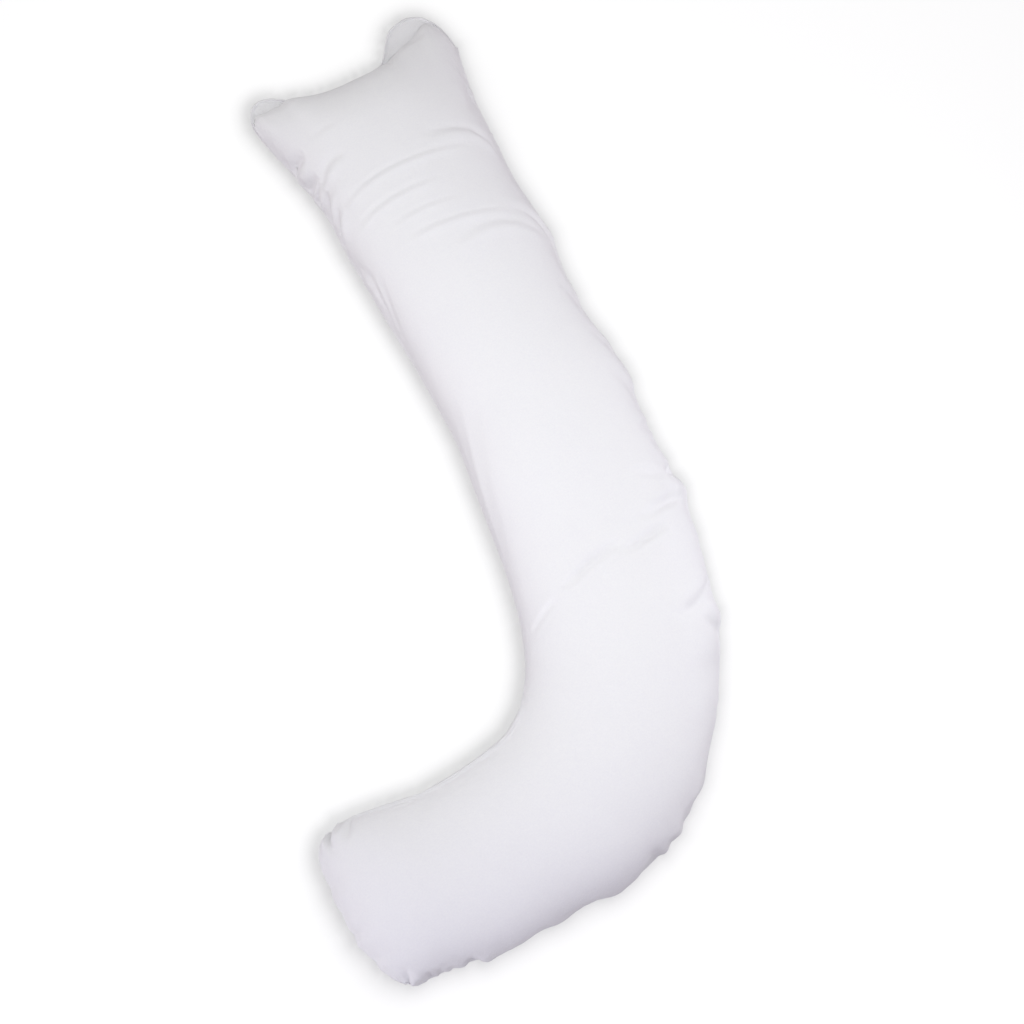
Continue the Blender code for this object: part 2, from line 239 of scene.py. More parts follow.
# The cuts are squarer near the ends, and two panels lying flat are twice the least half thick.
END_BOXINESS = 0.6
LEAST_HALF = 0.0022
FLAT_SHARPNESS = 3
FOOT_REACH_FADE, HEAD_REACH_FADE = 0.120, 0.170
FOOT_SEAM_HEIGHT, HEAD_SEAM_HEIGHT = 0.060, 0.066


def rise_from_seam(distance, share, rounding, flats=()):
    """How far the cloth has risen, from 0 at an end seam to 1 where the pillow is full."""
    flat = np.zeros_like(share)
    for row in flats:
        values = dict(zip(FLAT_COLUMNS, row))
        away = np.abs(share - values["share"]) / values["spread"]
        flat = flat + values["length"] * np.exp(-(away ** FLAT_SHARPNESS))
    gone = np.clip((distance - flat) / rounding, 0.0, 1.0)
    return np.sqrt(1 - (1 - gone) ** 2)


def seam_reach(table, share):
    shares = column(table, REACH_COLUMNS, "share")
    return smooth_curve(shares, column(table, REACH_COLUMNS, "reach"), share)


def plan_of(along, share):
    """Where a place lies as seen from above."""
    inner, outer = (
        np.stack([at_station(f"{edge}_x", along), at_station(f"{edge}_y", along)], -1)
        for edge in ("inner", "outer")
    )
    heading = np.gradient((inner + outer)[:, 0, :], axis=0)
    heading = heading / np.linalg.norm(heading, axis=1, keepdims=True)
    head_fade = 1 - eased((LENGTH - along) / HEAD_REACH_FADE)
    foot_fade = 1 - eased(along / FOOT_REACH_FADE)
    reach = seam_reach(HEAD_SEAM, share) * head_fade - seam_reach(FOOT_SEAM, share) * foot_fade
    return inner + (outer - inner) * share[..., None] + heading[:, None, :] * reach[..., None]


def filled_form(side, cloth, across):
    """One panel on the plain filled form, as [along, across, xyz]."""
    along = plan_distance(cloth)[:, None]
    from_foot, from_head = along, LENGTH - along
    inner_roll = np.radians(at_station("inner_roll", along))
    outer_roll = np.radians(at_station("outer_roll", along))
    turn = inner_roll + side * across[None, :] * (math.pi - side * (inner_roll + outer_roll))
    share = (1 - np.cos(turn)) / 2
    full = rise_from_seam(from_foot, share, FOOT_ROUNDING)
    full = full * rise_from_seam(from_head, share, HEAD_ROUNDING, HEAD_FLATS)
    near_middle = eased(from_foot / FOOT_ROUNDING) * eased(from_head / HEAD_ROUNDING)
    thickness = at_station("thickness", along)
    seam_height = np.where(from_foot < from_head, FOOT_SEAM_HEIGHT, HEAD_SEAM_HEIGHT)
    widest = seam_height + (thickness * WIDEST_SHARE - seam_height) * near_middle
    boxiness = END_BOXINESS + (1 - END_BOXINESS) * near_middle
    lift = np.sin(turn)
    upper = (thickness - widest) * full * np.abs(lift) ** (UPPER_FULLNESS * boxiness)
    lower = (widest + PRESSED_IN) * full * np.abs(lift) ** (LOWER_FULLNESS * boxiness)
    half = np.where(lift > 0, upper, -lower)
    off_seam = np.zeros_like(half)
    off_seam[1:-1, 1:-1] = side * LEAST_HALF
    half = np.where(np.abs(half) < LEAST_HALF, off_seam, half)
    height = np.maximum(widest + half, 0.0)
    return np.concatenate([plan_of(along, share), height[..., None]], -1)


plain = {side: filled_form(side, cloth_along, cloth_across) for side in (FRONT, BACK)}
print("plain form:", plain[FRONT].shape, "points a panel, top at",
      round(float(plain[FRONT][..., 2].max()), 4), "m")

# %% [markdown]
# ## Sewing two grids into one skin
#
# The panels share their seam points, so the pillow is one closed skin with no weld to make. The
# corner cells are split from the corner inwards: split the other way, the two panels' triangles
# would lie on each other.


# %% Sewing
# How far apart the two panels lie on the cloth's map.
PANEL_GAP = 0.05


def point_numbers(shape):
    """Each panel's grid of point numbers. The back panel takes its seam points from the front."""
    front = np.arange(shape[0] * shape[1]).reshape(shape)
    back = front.copy()
    inside = (shape[0] - 2) * (shape[1] - 2)
    back[1:-1, 1:-1] = np.arange(front.size, front.size + inside).reshape(shape[0] - 2, -1)
    return {FRONT: front, BACK: back}


def grid_cells(shape, side):
    """Cells of one panel as corners (row, place), turned so that they face outwards."""
    last_row, last_place = shape[0] - 2, shape[1] - 2
    cells = []
    for row in range(last_row + 1):
        for place in range(last_place + 1):
            ring = [(row, place), (row + 1, place), (row + 1, place + 1), (row, place + 1)]
            if side == FRONT:
                ring.reverse()
            if row in (0, last_row) and place in (0, last_place):
                tip = (row + (row > 0), place + (place > 0))
                start = ring.index(tip)
                ring = ring[start:] + ring[:start]
                cells += [ring[:3], [ring[0], *ring[2:]]]
            else:
                cells.append(ring)
    return cells


def join_panels(panels):
    """All the points of the skin, from two panels' grids."""
    inner = panels[BACK][1:-1, 1:-1]
    return np.concatenate([
        panels[FRONT].reshape(-1, *panels[FRONT].shape[2:]),
        inner.reshape(-1, *inner.shape[2:]),
    ])


def picked(places, count):
    """That many of the places, evenly picked."""
    return np.interp(np.arange(count), np.linspace(0, count - 1, len(places)), places)


def sew(name, panels):
    """One mesh from the two panels, with the flat cloth as its UV map, in metres."""
    shape = panels[FRONT].shape[:2]
    numbers = point_numbers(shape)
    along, across = picked(cloth_along, shape[0]), picked(cloth_across, shape[1])
    faces, uv = [], []
    for side in (FRONT, BACK):
        shift = 0.0 if side == FRONT else CLOTH_WIDTH + PANEL_GAP
        for cell in grid_cells(shape, side):
            faces.append([int(numbers[side][corner]) for corner in cell])
            uv += [(along[row], across[place] * CLOTH_WIDTH + shift) for row, place in cell]
    mesh = bpy.data.meshes.new(name)
    mesh.from_pydata(join_panels(panels).tolist(), [], faces)
    layer = mesh.uv_layers.new(name="cloth")
    layer.data.foreach_set("uv", np.array(uv, np.float32).reshape(-1))
    mesh.shade_smooth()
    mesh.update()
    thing = bpy.data.objects.new(name, mesh)
    bpy.context.scene.collection.objects.link(thing)
    return thing


def split_panels(values, shape):
    """The reverse of join_panels: each panel's grid from a list over all points."""
    numbers = point_numbers(shape)
    return {side: values[numbers[side]] for side in (FRONT, BACK)}


def outward(thing, shape):
    """The outward direction at each point, as two panels."""
    mesh = thing.data
    normals = np.empty(len(mesh.vertices) * 3, np.float32)
    mesh.vertex_normals.foreach_get("vector", normals)
    return split_panels(normals.reshape(-1, 3).astype(float), shape)


plain_skin = sew("plain_skin", plain)
SHAPE = plain[FRONT].shape[:2]
on_seam = np.ones(SHAPE, bool)
on_seam[1:-1, 1:-1] = False
plain_out = outward(plain_skin, SHAPE)
bpy.data.objects.remove(plain_skin)
print("front panel's middle faces", plain_out[FRONT][SHAPE[0] // 2, SHAPE[1] // 2].round(2))

# %% [markdown]
# ## Creases placed one by one
#
# A crease in stuffed cotton is a narrow valley with a soft roll of cloth beside it. Each row below
# is one crease the photograph shows, as a bent line through three places on the cloth. A gather
# starts at the seam and fades inwards. A fold fades at both ends. The roll lies on the right of
# the line's direction, and a negative depth makes a ridge.

# %% The creases
CREASE_COLUMNS = (
    "name", "along_1", "across_1", "along_2", "across_2", "along_3", "across_3",
    "width", "depth", "roll", "kind",
)
CREASES = (
    # The head end and its ears.
    ("crown fold", 1.526, 0.66, 1.508, 0.74, 1.520, 0.84, 0.006, 0.0012, 0.0010, "fold"),
    ("outer ear crease", 1.568, 0.87, 1.545, 0.88, 1.505, 0.86, 0.007, 0.0010, 0.0006, "fold"),
    ("brow crease", 1.440, 0.25, 1.448, 0.31, 1.453, 0.37, 0.005, 0.0012, 0.0010, "fold"),
    ("temple crease", 1.427, 0.94, 1.412, 0.90, 1.398, 0.84, 0.010, 0.0030, 0.0020, "gather"),
    ("outer dimple", 1.372, 0.60, 1.374, 0.76, 1.345, 0.93, 0.008, 0.0030, 0.0030, "fold"),
    ("outer dimple tail", 1.366, 0.80, 1.350, 0.87, 1.325, 0.95, 0.007, 0.0030, 0.0020, "fold"),
    # Long folds across the upper part of the arm.
    ("long cheek crease", 1.330, 0.20, 1.346, 0.45, 1.342, 0.76, 0.0044, 0.0016, 0.0020, "fold"),
    ("cheek crease", 1.286, 0.21, 1.300, 0.37, 1.302, 0.60, 0.0044, 0.0015, 0.0019, "fold"),
    ("short neck crease", 1.259, 0.34, 1.265, 0.46, 1.262, 0.62, 0.0040, 0.0010, 0.0012, "fold"),
    ("neck crease", 1.229, 0.37, 1.232, 0.53, 1.221, 0.76, 0.0048, 0.0015, 0.0020, "fold"),
    ("shoulder crease", 1.183, 0.48, 1.204, 0.68, 1.168, 0.90, 0.007, 0.0018, 0.0026, "fold"),
    ("shoulder gather", 1.105, 0.98, 1.188, 0.93, 1.219, 0.74, 0.007, 0.0024, 0.0016, "fold"),
    ("shoulder gather 2", 1.140, 0.99, 1.186, 0.95, 1.212, 0.84, 0.006, 0.0016, 0.0010, "fold"),
    ("arm wave 1", 1.060, 0.98, 1.075, 0.90, 1.110, 0.78, 0.012, 0.0022, 0.0022, "gather"),
    ("arm wave 2", 0.975, 0.98, 0.990, 0.90, 1.025, 0.80, 0.012, 0.0022, 0.0020, "gather"),
    ("arm wave 3", 0.905, 0.98, 0.920, 0.88, 0.955, 0.76, 0.011, 0.0022, 0.0020, "gather"),
    # The inner side of the arm.
    ("inner arc", 1.357, 0.03, 1.394, 0.19, 1.404, 0.34, 0.007, 0.0040, 0.0030, "fold"),
    ("inner trough", 1.328, 0.02, 1.358, 0.12, 1.386, 0.23, 0.011, 0.0035, 0.0025, "fold"),
    ("inner trough 2", 1.308, 0.05, 1.330, 0.13, 1.346, 0.21, 0.009, 0.0025, 0.0020, "fold"),
    ("side gather 1", 1.450, 0.01, 1.441, 0.08, 1.432, 0.18, 0.008, 0.0088, 0.0040, "fold"),
    ("side gather 2", 1.409, 0.01, 1.403, 0.07, 1.404, 0.16, 0.0065, 0.0078, 0.0036, "fold"),
    ("side gather 3", 1.383, 0.01, 1.387, 0.07, 1.395, 0.16, 0.006, 0.0070, 0.0034, "fold"),
    ("side gather 4", 1.343, 0.01, 1.354, 0.07, 1.375, 0.16, 0.007, 0.0060, 0.0030, "fold"),
    ("side gather 5", 1.294, 0.01, 1.313, 0.08, 1.334, 0.17, 0.008, 0.0050, 0.0028, "fold"),
    ("long dent 1", 1.262, 0.03, 1.222, 0.09, 1.150, 0.05, 0.009, 0.0024, 0.0016, "fold"),
    ("long dent 2", 1.214, 0.17, 1.165, 0.12, 1.092, 0.04, 0.009, 0.0026, 0.0018, "fold"),
    ("long dent 3", 1.240, 0.12, 1.188, 0.08, 1.115, 0.02, 0.008, 0.0024, 0.0015, "fold"),
    ("inner long ridge", 0.990, 0.25, 0.885, 0.16, 0.717, 0.06, 0.008, -0.0012, -0.0004, "fold"),
    ("inner long trough", 0.985, 0.29, 0.876, 0.21, 0.715, 0.12, 0.012, 0.0012, 0.0000, "fold"),
    # The outer side at the thigh and the knee.
    ("hip nick", 0.852, 0.97, 0.845, 0.90, 0.833, 0.84, 0.006, 0.0040, 0.0020, "gather"),
    ("hip nick 2", 0.832, 0.99, 0.826, 0.94, 0.818, 0.90, 0.006, 0.0030, 0.0015, "gather"),
    ("thigh roll", 0.757, 1.00, 0.760, 0.92, 0.764, 0.84, 0.018, -0.0060, 0.0000, "gather"),
    ("thigh spot", 0.786, 0.99, 0.782, 0.94, 0.775, 0.86, 0.007, 0.0080, 0.0020, "gather"),
    ("thigh dent", 0.778, 0.87, 0.774, 0.79, 0.783, 0.71, 0.007, 0.0034, 0.0010, "fold"),
    ("thigh crease", 0.744, 0.94, 0.730, 0.80, 0.714, 0.67, 0.0048, 0.0070, 0.0016, "fold"),
    ("thigh crease 2", 0.754, 0.90, 0.736, 0.80, 0.729, 0.71, 0.0045, 0.0046, 0.0008, "fold"),
    ("middle crease", 0.702, 0.77, 0.689, 0.68, 0.673, 0.58, 0.0048, 0.0072, 0.0010, "fold"),
    ("long crease", 0.690, 0.60, 0.676, 0.49, 0.648, 0.37, 0.0050, 0.0062, 0.0006, "fold"),
    ("long crease tail", 0.640, 0.34, 0.622, 0.26, 0.598, 0.17, 0.0055, 0.0028, 0.0004, "fold"),
    ("knee crease", 0.636, 0.98, 0.608, 0.84, 0.582, 0.71, 0.0060, 0.0062, 0.0014, "fold"),
    ("knee crease 2", 0.618, 0.97, 0.601, 0.85, 0.590, 0.75, 0.0050, 0.0038, 0.0008, "fold"),
    ("knee nick", 0.578, 1.00, 0.579, 0.90, 0.582, 0.77, 0.009, 0.0038, 0.0025, "gather"),
    ("calf dent", 0.542, 0.99, 0.526, 0.84, 0.494, 0.69, 0.016, 0.0024, 0.0010, "gather"),
    # The heel and the foot.
    ("bend gather", 0.424, 1.00, 0.412, 0.92, 0.403, 0.84, 0.008, 0.0040, 0.0028, "gather"),
    ("heel notch", 0.406, 1.00, 0.398, 0.92, 0.392, 0.85, 0.007, 0.0040, 0.0020, "gather"),
    ("heel gather", 0.384, 1.00, 0.376, 0.89, 0.371, 0.79, 0.007, 0.0060, 0.0040, "gather"),
    ("heel fold", 0.366, 1.00, 0.360, 0.87, 0.356, 0.76, 0.007, 0.0060, 0.0052, "gather"),
    ("heel gather 2", 0.350, 1.00, 0.349, 0.90, 0.347, 0.79, 0.008, 0.0035, 0.0025, "gather"),
    ("sole wave 1", 0.290, 1.00, 0.288, 0.93, 0.284, 0.85, 0.012, 0.0025, 0.0020, "gather"),
    ("sole wave 2", 0.225, 1.00, 0.222, 0.93, 0.216, 0.86, 0.012, 0.0022, 0.0020, "gather"),
    ("sole tuck", 0.141, 1.00, 0.136, 0.90, 0.128, 0.81, 0.008, 0.0070, 0.0045, "gather"),
    ("sole gather", 0.116, 1.00, 0.108, 0.91, 0.102, 0.83, 0.007, 0.0040, 0.0025, "gather"),
    ("sole gather 2", 0.098, 1.00, 0.091, 0.91, 0.087, 0.83, 0.007, 0.0050, 0.0025, "gather"),
    ("toe gather", 0.080, 1.00, 0.074, 0.92, 0.073, 0.83, 0.007, 0.0040, 0.0020, "gather"),
    ("toe corner nick", 0.022, 0.97, 0.040, 0.86, 0.054, 0.77, 0.010, 0.0030, 0.0020, "gather"),
    ("toe corner fold", 0.080, 0.01, 0.082, 0.09, 0.078, 0.17, 0.005, 0.0040, 0.0020, "fold"),
    ("toe corner crease", 0.012, 0.05, 0.040, 0.13, 0.052, 0.25, 0.007, 0.0042, 0.0020, "fold"),
    ("toe corner pinch", 0.046, 0.02, 0.062, 0.15, 0.074, 0.25, 0.008, -0.0022, -0.0010, "gather"),
    ("toe end gather 1", 0.000, 0.38, 0.036, 0.39, 0.060, 0.39, 0.008, 0.0016, 0.0010, "gather"),
    ("toe end gather 2", 0.000, 0.49, 0.033, 0.49, 0.056, 0.49, 0.008, 0.0018, 0.0011, "gather"),
    ("toe end gather 3", 0.000, 0.58, 0.036, 0.58, 0.058, 0.57, 0.007, 0.0020, 0.0012, "gather"),
    ("toe end gather 4", 0.000, 0.71, 0.032, 0.71, 0.054, 0.70, 0.008, 0.0018, 0.0010, "gather"),
)
print(len(CREASES), "creases")

# %% One crease
CREASE_STEPS = 16
GATHER_FULL, FOLD_TAPER = 1.6, 0.7
CREASE_STRENGTH = {
    "gather": lambda t: float(eased(GATHER_FULL * (1 - t))),
    "fold": lambda t: math.sin(math.pi * t) ** FOLD_TAPER,
}
# Where the roll lies, how wide it is and how far a line's piece counts, all in crease widths.
ROLL_PLACE, ROLL_WIDTH, PIECE_REACH = 2.0, 1.5, 2


def crease_height(cloth, row):
    """How far one crease sinks (under 0) or lifts each place on the cloth."""
    values = dict(zip(CREASE_COLUMNS, row))
    ends = [
        np.array([values[f"along_{k}"], values[f"across_{k}"] * CLOTH_WIDTH]) for k in (1, 2, 3)
    ]
    control = 2 * ends[1] - (ends[0] + ends[2]) / 2
    nearest = np.full(cloth.shape[:2], np.inf)
    signed = np.zeros(cloth.shape[:2])
    strength = np.zeros(cloth.shape[:2])
    for t in np.linspace(0.0, 1.0, CREASE_STEPS + 1):
        spot = (1 - t) ** 2 * ends[0] + 2 * t * (1 - t) * control + t * t * ends[2]
        way = 2 * (1 - t) * (control - ends[0]) + 2 * t * (ends[2] - control)
        way = way / np.linalg.norm(way)
        offset = cloth - spot
        away = np.linalg.norm(offset, axis=-1)
        along_line = offset @ way
        to_right = offset @ np.array([-way[1], way[0]])
        here = CREASE_STRENGTH[values["kind"]](t)
        closer = away < nearest
        nearest = np.where(closer, away, nearest)
        # Past the line's own piece, the distance from it counts, not that from its tangent.
        beside = np.abs(along_line) < PIECE_REACH * values["width"]
        across_line = np.where(beside, to_right, np.sign(to_right) * away)
        signed = np.where(closer, across_line, signed)
        strength = np.where(closer, here, strength)
    valley = np.exp(-((signed / values["width"]) ** 2))
    roll = np.exp(-(((signed / values["width"] - ROLL_PLACE) / ROLL_WIDTH) ** 2))
    return strength * (values["roll"] * roll - values["depth"] * valley)


# %% The relief of both panels
LIP_HEIGHT, LIP_PLACE, LIP_WIDTH = 0.0016, 0.0035, 0.0028
DITCH_DEPTH, DITCH_WIDTH = 0.0012, 0.0012
SEAM_RIDGE, SEAM_SPREAD = 0.0020, 0.012
BACK_SPREAD = 0.030
cloth_grid = np.stack(np.meshgrid(cloth_along, cloth_across * CLOTH_WIDTH, indexing="ij"), -1)
to_both_seams = np.minimum(cloth_grid, [CLOTH_LENGTH, CLOTH_WIDTH] - cloth_grid)
to_seam = to_both_seams.min(axis=-1)
# Where two seams meet, the cloth's normals turn fast, so all relief fades out at the corners.
CORNER_FADE = 0.022
off_corner = eased(np.linalg.norm(to_both_seams, axis=-1) / CORNER_FADE)


def sewn_edge(distance):
    """A fine ditch at the seam, the rolled lip of cloth beside it, and the edge's slight ridge."""
    lip = LIP_HEIGHT * np.exp(-(((distance - LIP_PLACE) / LIP_WIDTH) ** 2))
    ditch = DITCH_DEPTH * np.exp(-((distance / DITCH_WIDTH) ** 2))
    return lip - ditch + SEAM_RIDGE * np.exp(-distance / SEAM_SPREAD)


# No fold sinks further than this share of the way to the other panel.
DEEPEST_SHARE = 0.35
between_panels = np.linalg.norm(plain[FRONT] - plain[BACK], axis=-1)
folds = sum(crease_height(cloth_grid, row) for row in CREASES)
folds = np.maximum(folds, -DEEPEST_SHARE * between_panels)
relief = {
    FRONT: (folds + sewn_edge(to_seam)) * off_corner,
    BACK: (folds * np.exp(-to_seam / BACK_SPREAD) + sewn_edge(to_seam)) * off_corner,
}
print("relief from", round(folds.min() * 1000, 1), "to", round(folds.max() * 1000, 1), "mm")

# %% [markdown]
# ## Small gathers from a cloth simulation
#
# The seam is a little shorter than the cloth that it holds, so the filling's pressure gathers the
# cloth along it. Blender's Cloth does that: pressure inside, no gravity, and cloth that is told it
# is longer than the seam. Only the small gathers are kept from the result. The form as a whole
# stays where the cuts put it, so the pillow keeps its size.

# %% Simulation settings
SIMULATED_FRAMES = 20
CLOTH_SETTINGS = {
    "quality": 6, "mass": 0.15, "tension_stiffness": 30, "compression_stiffness": 30,
    "shear_stiffness": 10, "bending_stiffness": 0.1, "use_pressure": True,
    "uniform_pressure_force": 4.0,
}
EXTRA_CLOTH = 0.05
SEAM_HOLD = 0.030
START_UNEVENNESS, UNEVENNESS_SEED = 0.0004, 7
MOST_GATHER = 0.0032
SMOOTHING_ROUNDS = 60
LEAST_SIZE = 1e-9
# The gathers fade out this far from the seam, and on the flat ears, which hold no filling.
GATHER_REACH = 0.055
EAR_FROM_HEAD = 0.075


def weights_of(thing, name, values):
    group = thing.vertex_groups.new(name=name)
    for number, value in enumerate(values):
        group.add([number], float(value), "REPLACE")
    return group.name


def stuffed(thing, looseness):
    """Runs the cloth on the object and gives its points at the last frame."""
    cloth = thing.modifiers.new("filling", "CLOTH").settings
    for setting, value in CLOTH_SETTINGS.items():
        setattr(cloth, setting, value)
    cloth.effector_weights.gravity = 0
    cloth.vertex_group_shrink = weights_of(thing, "loose", looseness)
    cloth.shrink_min, cloth.shrink_max = 0.0, -EXTRA_CLOTH
    for number in range(1, SIMULATED_FRAMES + 1):
        bpy.context.scene.frame_set(number)
    mesh = thing.evaluated_get(bpy.context.evaluated_depsgraph_get()).to_mesh()
    points = np.empty(len(mesh.vertices) * 3, np.float32)
    mesh.vertices.foreach_get("co", points)
    bpy.context.scene.frame_set(1)
    return points.reshape(-1, 3).astype(float)


def smoothed(grid, rounds):
    """A grid of vectors with its small shapes averaged away."""
    for _ in range(rounds):
        padded = np.pad(grid, ((1, 1), (1, 1), (0, 0)), mode="edge")
        grid = (padded[:-2, 1:-1] + padded[2:, 1:-1] + padded[1:-1, :-2] + padded[1:-1, 2:]) / 4
    return grid


def coarser(grid):
    """A grid with only every second row and place."""
    return grid[::2, ::2]


def finer(grid):
    """A grid with a new row and place between each two."""
    for axis in (0, 1):
        count = grid.shape[axis]
        between = (grid.take(range(count - 1), axis) + grid.take(range(1, count), axis)) / 2
        grid = np.insert(grid, range(1, count), between, axis)
    return grid


# %% Simulate
def gathers():
    """How far the simulated cloth's small shapes stand off the plain form, as two fine panels."""
    rng = np.random.default_rng(UNEVENNESS_SEED)
    start = {
        side: coarser(plain[side]) + coarser(plain_out[side]) * coarser(relief[side])[..., None]
        for side in (FRONT, BACK)
    }
    shape = start[FRONT].shape[:2]
    rough = {
        side: rng.normal(0.0, START_UNEVENNESS, shape)[..., None] * coarser(plain_out[side])
        for side in (FRONT, BACK)
    }
    thing = sew("stuffing", {side: start[side] + rough[side] for side in (FRONT, BACK)})
    loose = eased(coarser(to_seam) / SEAM_HOLD)
    began = time.time()
    points = stuffed(thing, join_panels({FRONT: loose, BACK: loose}))
    print("simulated", len(points), "points in", round(time.time() - began, 1), "s")
    bpy.data.objects.remove(thing)
    moved = split_panels(points, shape)
    result = {}
    for side in (FRONT, BACK):
        move = moved[side] - start[side]
        small = move - smoothed(move, SMOOTHING_ROUNDS)
        size = np.linalg.norm(small, axis=-1, keepdims=True)
        small = small * MOST_GATHER / (MOST_GATHER + size)
        print("panel", side, "whole move", np.abs(move).max().round(4),
              "small", size.max().round(4), "typical", size.mean().round(5))
        small = finer(small)
        size = np.linalg.norm(small, axis=-1)
        room = np.minimum(1.0, DEEPEST_SHARE * between_panels / np.maximum(size, LEAST_SIZE))
        near_seam = np.exp(-((to_seam / GATHER_REACH) ** 2))
        off_ear = eased((CLOTH_LENGTH - cloth_along) / EAR_FROM_HEAD)[:, None]
        result[side] = small * (room * near_seam * off_ear)[..., None]
    seam = (result[FRONT] + result[BACK]) / 2
    for side in (FRONT, BACK):
        result[side][on_seam] = seam[on_seam]
    return result


small_gathers = {side: np.zeros_like(plain[side]) for side in (FRONT, BACK)}
small_gathers = gathers()

# %% The finished skin
finished = {}
for side in (FRONT, BACK):
    skin = plain[side] + plain_out[side] * relief[side][..., None] + small_gathers[side]
    skin[..., 2] = np.maximum(skin[..., 2], 0.0)
    finished[side] = skin
finished[BACK][on_seam] = finished[FRONT][on_seam]
pillow_cover = sew("pillow_cover", finished)
out_now = outward(pillow_cover, SHAPE)
seam_layer = pillow_cover.data.attributes.new("to_seam", "FLOAT", "POINT")
seam_layer.data.foreach_set(
    "value", join_panels({FRONT: to_seam, BACK: to_seam}).astype(np.float32))
print("cover:", len(pillow_cover.data.polygons), "faces")

# %% [markdown]
# ## The stitches
#
# The seam is sewn from inside, so only short bits of thread show in the ditch between the panels.
# They repeat along a path, which is what Geometry Nodes are for: the seam line becomes a curve, is
# resampled at the stitch spacing, and gets one small thread bead at each point.


# %% The seam line
def seam_ring(grid):
    """The values round the edge of a grid, in one turn."""
    return np.concatenate([grid[0, :-1], grid[:-1, -1], grid[-1, :0:-1], grid[:0:-1, 0]])


seam_points = seam_ring(finished[FRONT])
seam_out = seam_ring(out_now[FRONT])
seam_mesh = bpy.data.meshes.new("seam_path")
count = len(seam_points)
seam_mesh.from_pydata(seam_points.tolist(), [(k, (k + 1) % count) for k in range(count)], [])
outward_layer = seam_mesh.attributes.new("outward", "FLOAT_VECTOR", "POINT")
outward_layer.data.foreach_set("vector", seam_out.astype(np.float32).reshape(-1))
seam_path = bpy.data.objects.new("seam_path", seam_mesh)
bpy.context.scene.collection.objects.link(seam_path)
seam_length = np.linalg.norm(np.diff(seam_points, axis=0, append=seam_points[:1]), axis=1).sum()
print("the seam runs", round(float(seam_length), 2), "m round the pillow")

# %% [markdown]
# ## Node trees by short expressions
#
# Both the stitches and the materials need node trees. One method adds a node with its settings and
# inputs, and a small class wraps a socket so that maths on it reads like ordinary maths.


# %% A notebook of nodes
class Value:
    """A number socket that takes part in ordinary maths."""

    def __init__(self, book, socket):
        self.book, self.socket = book, socket

    def maths(self, operation, first, second):
        node = self.book.node("ShaderNodeMath", {"operation": operation}, {0: first, 1: second})
        return Value(self.book, node.outputs[0])

    def __add__(self, other):
        return self.maths("ADD", self, other)

    def __radd__(self, other):
        return self.maths("ADD", other, self)

    def __sub__(self, other):
        return self.maths("SUBTRACT", self, other)

    def __rsub__(self, other):
        return self.maths("SUBTRACT", other, self)

    def __mul__(self, other):
        return self.maths("MULTIPLY", self, other)

    def __rmul__(self, other):
        return self.maths("MULTIPLY", other, self)

    def __truediv__(self, other):
        return self.maths("DIVIDE", self, other)

    def __pow__(self, other):
        return self.maths("POWER", self, other)


class Book:
    """Adds nodes to one tree."""

    def __init__(self, tree):
        self.tree = tree

    def node(self, kind, settings=None, inputs=None):
        """Adds a node: its settings first, then the values or links of its sockets."""
        made = self.tree.nodes.new(kind)
        for name, value in (settings or {}).items():
            setattr(made, name, value)
        for name, value in (inputs or {}).items():
            self.plug(made.inputs[name], value)
        return made

    def plug(self, socket, value):
        if isinstance(value, Value):
            value = value.socket
        if isinstance(value, bpy.types.NodeSocket):
            self.tree.links.new(value, socket)
        else:
            socket.default_value = value

    def value(self, kind, settings=None, inputs=None, output=0):
        return Value(self, self.node(kind, settings, inputs).outputs[output])


print("node helpers ready")

# %% [markdown]
# ## White cotton
#
# The cover is a smooth, matt plain weave: threads over and under each other, some of them thicker,
# and soft crumples from the filling. A picture of cloth would blur up close. Waves and noise stay
# sharp, and on the flat cloth's own map the threads turn with every fold. The crumples, the
# mottling and the nap run in no direction, so they are noise in the pillow's own space.

# %% Helpers for the weave
THREADS_PER_METRE = 1500
WANDER_SCALE, WANDER = 60.0, 3.0
# Slubs are long along their thread and narrow across it.
SLUB_ALONG, SLUB_ACROSS = 40.0, 900.0


def new_material(name):
    material = bpy.data.materials.new(name)
    material.use_nodes = True
    book = Book(material.node_tree)
    return material, book, material.node_tree.nodes["Principled BSDF"]


def woven(book):
    """The height of a plain weave: rows of threads one way and the other, over and under."""
    uv = book.node("ShaderNodeUVMap", {"uv_map": "cloth"}).outputs["UV"]
    wander = book.node("ShaderNodeTexNoise", {"noise_dimensions": "2D"},
                       {"Vector": uv, "Scale": WANDER_SCALE, "Detail": 2.0}).outputs["Fac"]
    parts = book.node("ShaderNodeSeparateXYZ", None, {"Vector": uv})
    pitch = 2 * math.pi * THREADS_PER_METRE / 2
    warp, weft = (
        book.value("ShaderNodeMath", {"operation": "SINE"},
                   {0: Value(book, parts.outputs[axis]) * pitch + Value(book, wander) * WANDER})
        for axis in "XY"
    )
    return uv, warp * weft


def slubs(book, uv, stretch):
    """Slightly thicker threads: noise drawn out along one direction of the cloth."""
    drawn = book.node("ShaderNodeMapping", None, {"Vector": uv, "Scale": stretch}).outputs["Vector"]
    return book.value("ShaderNodeTexNoise", {"noise_dimensions": "2D"},
                      {"Vector": drawn, "Scale": 1.0, "Detail": 3.0, "Roughness": 0.6})


cotton, book, shader = new_material("white_cotton")
uv, weave = woven(book)
thread_noise = (
    slubs(book, uv, (SLUB_ALONG, SLUB_ACROSS, 1.0))
    + slubs(book, uv, (SLUB_ACROSS, SLUB_ALONG, 1.0))
)
print("weave of", THREADS_PER_METRE, "threads a metre")

# %% The cotton's colour
COTTON = (0.815, 0.811, 0.818)
COTTON_SHADE = (0.775, 0.768, 0.795)
